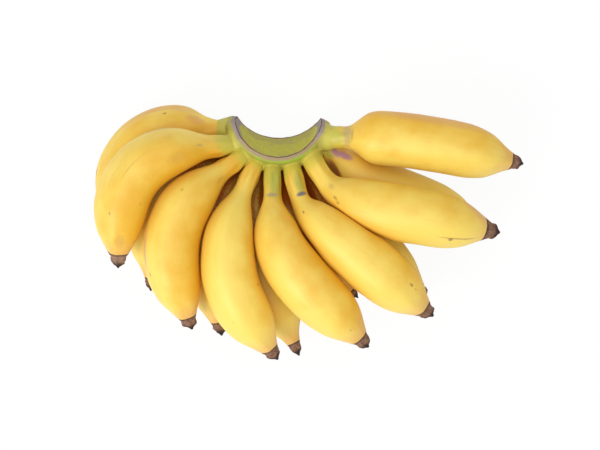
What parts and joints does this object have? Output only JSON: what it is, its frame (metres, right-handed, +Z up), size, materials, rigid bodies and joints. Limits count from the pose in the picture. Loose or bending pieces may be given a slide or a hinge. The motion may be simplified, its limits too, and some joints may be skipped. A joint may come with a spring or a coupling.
{
  "type": "hand of baby bananas",
  "caption": "Cut hand of ripe baby bananas: short curved fingers in staggered rows on a green crescent crown, lying on a level surface.",
  "frame": {"origin": "bottom centre of the whole hand's box, on the table it lies on", "axes": "+Z up from the table, +X along the hand's greatest width, +Y from the flower ends towards the cut crown"},
  "size_m": [0.2404, 0.1432, 0.0631],
  "materials": {
    "crown_flesh": "satin green skin, with a matt cut face",
    "peel": "smooth waxy peel with a soft sheen"
  },
  "bodies": {
    "root": {"crown": "crown_flesh", "banana_upper_1": "peel", "banana_upper_2": "peel", "banana_upper_3": "peel", "banana_upper_4": "peel", "banana_upper_5": "peel", "banana_upper_6": "peel", "banana_upper_7": "peel", "banana_lower_1": "peel", "banana_lower_2": "peel", "banana_lower_3": "peel", "banana_lower_4": "peel", "banana_lower_5": "peel", "banana_lower_6": "peel", "banana_lower_7": "peel"}
  },
  "joints": []
}
